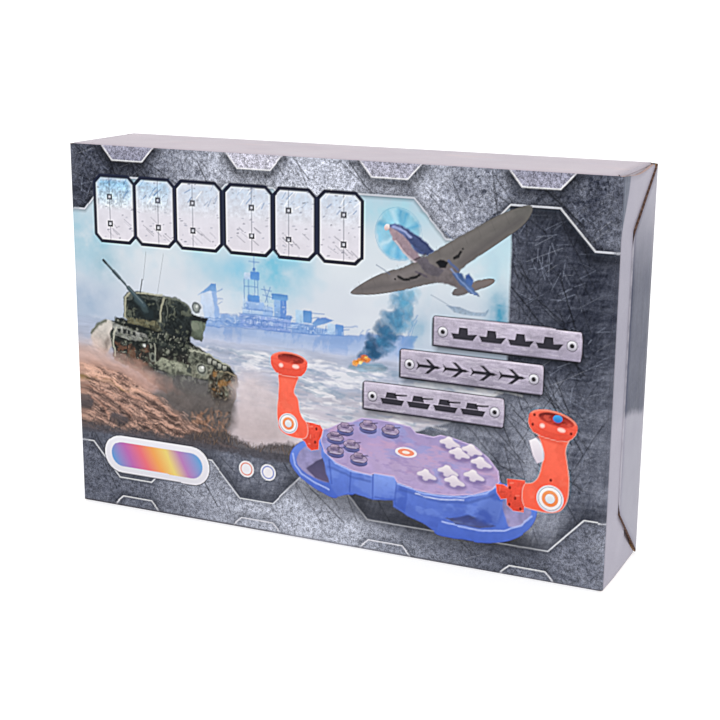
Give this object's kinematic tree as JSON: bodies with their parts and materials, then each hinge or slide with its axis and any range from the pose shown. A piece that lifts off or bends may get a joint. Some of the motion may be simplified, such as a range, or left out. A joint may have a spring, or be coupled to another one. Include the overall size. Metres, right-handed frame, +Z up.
{
  "type": "boxed tabletop battle game",
  "caption": "Upright printed corrugated carton with hinged end flaps, holding a launcher and token tabletop battle game.",
  "frame": {"origin": "centre of the resting face, at the bottom of the carton", "axes": "+X to the right end along the longest side, +Y from the printed front to the back, +Z up"},
  "size_m": [0.42, 0.082, 0.278],
  "materials": {
    "printed_front": "satin",
    "printed_board": "satin",
    "bare_board": "matte",
    "leaflet_paper": "matte",
    "blue_plastic": "gloss",
    "lilac_plastic": "satin",
    "red_plastic": "gloss",
    "white_plastic": "satin",
    "dark_plastic": "satin",
    "ball_plastic": "gloss",
    "badge_print": "satin"
  },
  "bodies": {
    "carton": {"front_panel": "printed_front", "back_panel": "printed_board", "bottom_panel": "printed_board", "top_panel": "printed_board", "glue_flap": "bare_board", "packing_cradle": "bare_board", "rules_leaflet": "leaflet_paper", "game_base": "blue_plastic", "play_deck": "lilac_plastic", "deck_badge": "badge_print", "tank_token_1": "dark_plastic", "tank_token_2": "dark_plastic", "tank_token_3": "dark_plastic", "tank_token_4": "dark_plastic", "tank_token_5": "dark_plastic", "tank_token_6": "dark_plastic", "plane_token_1": "white_plastic", "plane_token_2": "white_plastic", "plane_token_3": "white_plastic", "plane_token_4": "white_plastic", "plane_token_5": "white_plastic", "plane_token_6": "white_plastic", "right_launcher_arm": "red_plastic", "right_arm_badge": "badge_print", "right_launcher_cup": "red_plastic", "right_ball": "ball_plastic", "right_knuckle": "red_plastic", "right_knuckle_pin": "white_plastic", "right_trigger_tab": "white_plastic", "left_launcher_arm": "red_plastic", "left_arm_badge": "badge_print", "left_launcher_cup": "red_plastic", "left_ball": "ball_plastic", "left_knuckle": "red_plastic", "left_knuckle_pin": "white_plastic", "left_trigger_tab": "white_plastic"},
    "right_lock": {"right_lock_flap": "printed_board", "right_lock_tongue": "printed_board"},
    "right_closure": {"right_closure_flap": "printed_board"},
    "right_dust_top": {"right_dust_flap_top": "bare_board"},
    "right_dust_bottom": {"right_dust_flap_bottom": "bare_board"},
    "left_lock": {"left_lock_flap": "printed_board", "left_lock_tongue": "printed_board"},
    "left_closure": {"left_closure_flap": "printed_board"},
    "left_dust_top": {"left_dust_flap_top": "bare_board"},
    "left_dust_bottom": {"left_dust_flap_bottom": "bare_board"}
  },
  "joints": [
    {"name": "right_lock_crease", "type": "hinge", "parent": "carton", "child": "right_lock", "pos_m": [0.20805, 0.041, 0.139], "axis": [0, 0, 1], "range_deg": [0, 180]},
    {"name": "right_closure_crease", "type": "hinge", "parent": "carton", "child": "right_closure", "pos_m": [0.20595, -0.041, 0.139], "axis": [0, 0, -1], "range_deg": [0, 126]},
    {"name": "right_dust_top_crease", "type": "hinge", "parent": "carton", "child": "right_dust_top", "pos_m": [0.20385, 0, 0.278], "axis": [0, -1, 0], "range_deg": [0, 63]},
    {"name": "right_dust_bottom_crease", "type": "hinge", "parent": "carton", "child": "right_dust_bottom", "pos_m": [0.20385, 0, 0], "axis": [0, 1, 0], "range_deg": [0, 63]},
    {"name": "left_lock_crease", "type": "hinge", "parent": "carton", "child": "left_lock", "pos_m": [-0.20805, 0.041, 0.139], "axis": [0, 0, -1], "range_deg": [0, 180]},
    {"name": "left_closure_crease", "type": "hinge", "parent": "carton", "child": "left_closure", "pos_m": [-0.20595, -0.041, 0.139], "axis": [0, 0, 1], "range_deg": [0, 126]},
    {"name": "left_dust_top_crease", "type": "hinge", "parent": "carton", "child": "left_dust_top", "pos_m": [-0.20385, 0, 0.278], "axis": [0, 1, 0], "range_deg": [0, 63]},
    {"name": "left_dust_bottom_crease", "type": "hinge", "parent": "carton", "child": "left_dust_bottom", "pos_m": [-0.20385, 0, 0], "axis": [0, -1, 0], "range_deg": [0, 63]}
  ],
  "couplings": [
    {"joint": "right_closure_crease", "follows": "right_lock_crease", "ratio": 0.7},
    {"joint": "right_dust_top_crease", "follows": "right_lock_crease", "ratio": 0.35},
    {"joint": "right_dust_bottom_crease", "follows": "right_lock_crease", "ratio": 0.35},
    {"joint": "left_closure_crease", "follows": "left_lock_crease", "ratio": 0.7},
    {"joint": "left_dust_top_crease", "follows": "left_lock_crease", "ratio": 0.35},
    {"joint": "left_dust_bottom_crease", "follows": "left_lock_crease", "ratio": 0.35}
  ]
}
